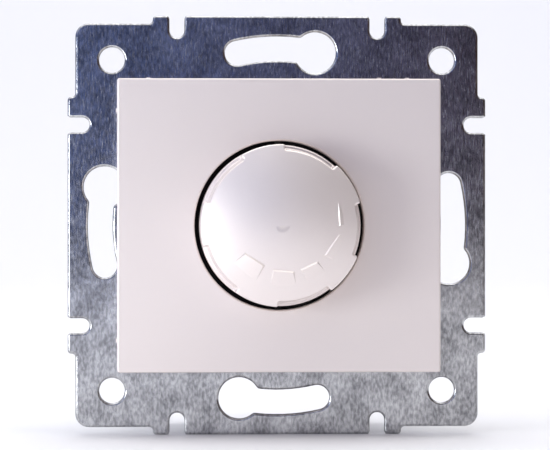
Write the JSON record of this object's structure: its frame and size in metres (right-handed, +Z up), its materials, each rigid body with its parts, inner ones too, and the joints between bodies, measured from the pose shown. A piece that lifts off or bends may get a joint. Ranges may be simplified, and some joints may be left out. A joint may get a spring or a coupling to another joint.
{
  "type": "rotary dimmer switch insert",
  "caption": "Flush-mounted rotary dimmer insert: push-and-turn dial knob in a square cover plate on a keyholed metal support frame, with rear housing, screw terminals and spreading claws.",
  "frame": {"origin": "centre of the four corner screw holes, on the back face of the support frame, which lies on the wall", "axes": "+X to the right and +Z up as seen from the room; +Y into the wall, along the dial axis"},
  "size_m": [0.071, 0.05, 0.071],
  "materials": {
    "zinc_steel": "zinc-plated sheet, satin",
    "pearl_plastic": "pearl plastic, semi gloss",
    "pearl_plastic_knob": "pearl plastic, gloss",
    "zinc_shaft": "turned",
    "spring_steel": "drawn",
    "zinc_small": "zinc plated",
    "zinc_screw": "yellow zinc plated",
    "claw_steel": "zinc plated",
    "brass_nickel": "nickel plated brass",
    "brass": "stamped",
    "tin_plated": "tin plated",
    "phenolic": "laminate",
    "carbon": "printed carbon",
    "black_plastic": "moulded",
    "carrier_plastic": "moulded, very dark brown",
    "white_plastic": "moulded",
    "housing_plastic": "light grey, moulded, fine texture",
    "pad_rubber": "silicone",
    "aluminium": "satin",
    "board": "epoxy laminate",
    "ferrite": "coated",
    "copper_wire": "enamelled copper",
    "capacitor_plastic": "moulded",
    "capacitor_small": "dipped",
    "resistor_body": "lacquered",
    "glass_diode": "painted glass",
    "fuse_glass": "clear"
  },
  "bodies": {
    "root": {"choke_core": "ferrite", "choke_winding": "copper_wire", "circuit_board": "board", "cover_plate": "pearl_plastic", "diac": "glass_diode", "film_capacitor": "capacitor_plastic", "fixing_nut": "brass_nickel", "front_carrier": "carrier_plastic", "fuse_caps": "brass_nickel", "fuse_clips": "brass", "fuse_glass": "fuse_glass", "heat_sink_pad": "pad_rubber", "housing_screws": "zinc_screw", "lock_washer": "zinc_small", "pot_base": "phenolic", "pot_bushing": "brass_nickel", "pot_can": "zinc_small", "pot_terminals": "tin_plated", "rear_housing": "housing_plastic", "resistive_track": "carbon", "resistors": "resistor_body", "small_capacitor": "capacitor_small", "support_frame": "zinc_steel", "switch_contacts": "brass", "switch_housing": "black_plastic", "switch_spring": "spring_steel", "terminal_contacts": "brass", "triac": "black_plastic", "triac_rivet": "aluminium"},
    "rotor": {"wiper_rotor": "black_plastic", "wiper_contact": "brass"},
    "knob": {"dial_knob": "pearl_plastic_knob", "knob_clip": "spring_steel", "pot_shaft": "zinc_shaft"},
    "plunger": {"switch_plunger": "white_plastic", "switch_bridge": "brass"},
    "terminal_screw_1": {"terminal_screw_1": "zinc_screw"},
    "terminal_cage_1": {"terminal_cage_1": "zinc_small"},
    "terminal_screw_2": {"terminal_screw_2": "zinc_screw"},
    "terminal_cage_2": {"terminal_cage_2": "zinc_small"},
    "terminal_screw_3": {"terminal_screw_3": "zinc_screw"},
    "terminal_cage_3": {"terminal_cage_3": "zinc_small"},
    "claw_screw_left": {"claw_screw_left": "zinc_screw"},
    "claw_nut_left": {"claw_nut_left": "zinc_small"},
    "claw_left": {"claw_left": "claw_steel"},
    "claw_screw_right": {"claw_screw_right": "zinc_screw"},
    "claw_nut_right": {"claw_nut_right": "zinc_small"},
    "claw_right": {"claw_right": "claw_steel"}
  },
  "joints": [
    {"name": "dial_turn", "type": "hinge", "parent": "root", "child": "rotor", "pos_m": [0, 0, 0], "axis": [0, 1, 0], "range_deg": [-150, 150]},
    {"name": "knob_push", "type": "slide", "parent": "rotor", "child": "knob", "axis": [0, 1, 0], "range_m": [0, 0.0015], "stiffness_N_per_m": 2000, "springref_m": -0.0015},
    {"name": "switch_plunge", "type": "slide", "parent": "root", "child": "plunger", "axis": [0, 1, 0], "range_m": [0, 0.0016], "deforming": ["switch_spring"]},
    {"name": "terminal_screw_1_turn", "type": "hinge", "parent": "root", "child": "terminal_screw_1", "pos_m": [-0.0106, 0.022, 0.0204], "axis": [0, 0, -1], "range_deg": [0, 1445]},
    {"name": "terminal_cage_1_lift", "type": "slide", "parent": "root", "child": "terminal_cage_1", "axis": [0, 0, 1], "range_m": [0, 0.002]},
    {"name": "terminal_screw_2_turn", "type": "hinge", "parent": "root", "child": "terminal_screw_2", "pos_m": [0, 0.022, 0.0204], "axis": [0, 0, -1], "range_deg": [0, 1445]},
    {"name": "terminal_cage_2_lift", "type": "slide", "parent": "root", "child": "terminal_cage_2", "axis": [0, 0, 1], "range_m": [0, 0.002]},
    {"name": "terminal_screw_3_turn", "type": "hinge", "parent": "root", "child": "terminal_screw_3", "pos_m": [0.0106, 0.022, 0.0204], "axis": [0, 0, -1], "range_deg": [0, 1445]},
    {"name": "terminal_cage_3_lift", "type": "slide", "parent": "root", "child": "terminal_cage_3", "axis": [0, 0, 1], "range_m": [0, 0.002]},
    {"name": "claw_screw_left_turn", "type": "hinge", "parent": "root", "child": "claw_screw_left", "pos_m": [-0.0224, 0, 0], "axis": [0, 1, 0], "range_deg": [0, 4330]},
    {"name": "claw_nut_left_draw", "type": "slide", "parent": "root", "child": "claw_nut_left", "axis": [0, -1, 0], "range_m": [0, 0.006]},
    {"name": "claw_left_spread", "type": "hinge", "parent": "claw_nut_left", "child": "claw_left", "pos_m": [-0.0224, 0.014, 0], "axis": [0, 0, 1], "range_deg": [0, 25.2]},
    {"name": "claw_screw_right_turn", "type": "hinge", "parent": "root", "child": "claw_screw_right", "pos_m": [0.0224, 0, 0], "axis": [0, 1, 0], "range_deg": [0, 4330]},
    {"name": "claw_nut_right_draw", "type": "slide", "parent": "root", "child": "claw_nut_right", "axis": [0, -1, 0], "range_m": [0, 0.006]},
    {"name": "claw_right_spread", "type": "hinge", "parent": "claw_nut_right", "child": "claw_right", "pos_m": [0.0224, 0.014, 0], "axis": [0, 0, -1], "range_deg": [0, 25.2]}
  ],
  "couplings": [
    {"joint": "switch_plunge", "follows": "knob_push", "ratio": 1},
    {"joint": "terminal_screw_1_turn", "follows": "terminal_cage_1_lift", "rad_per_m": 12566},
    {"joint": "terminal_screw_2_turn", "follows": "terminal_cage_2_lift", "rad_per_m": 12566},
    {"joint": "terminal_screw_3_turn", "follows": "terminal_cage_3_lift", "rad_per_m": 12566},
    {"joint": "claw_screw_left_turn", "follows": "claw_nut_left_draw", "rad_per_m": 12566},
    {"joint": "claw_left_spread", "follows": "claw_nut_left_draw", "rad_per_m": 72.722},
    {"joint": "claw_screw_right_turn", "follows": "claw_nut_right_draw", "rad_per_m": 12566},
    {"joint": "claw_right_spread", "follows": "claw_nut_right_draw", "rad_per_m": 72.722}
  ]
}
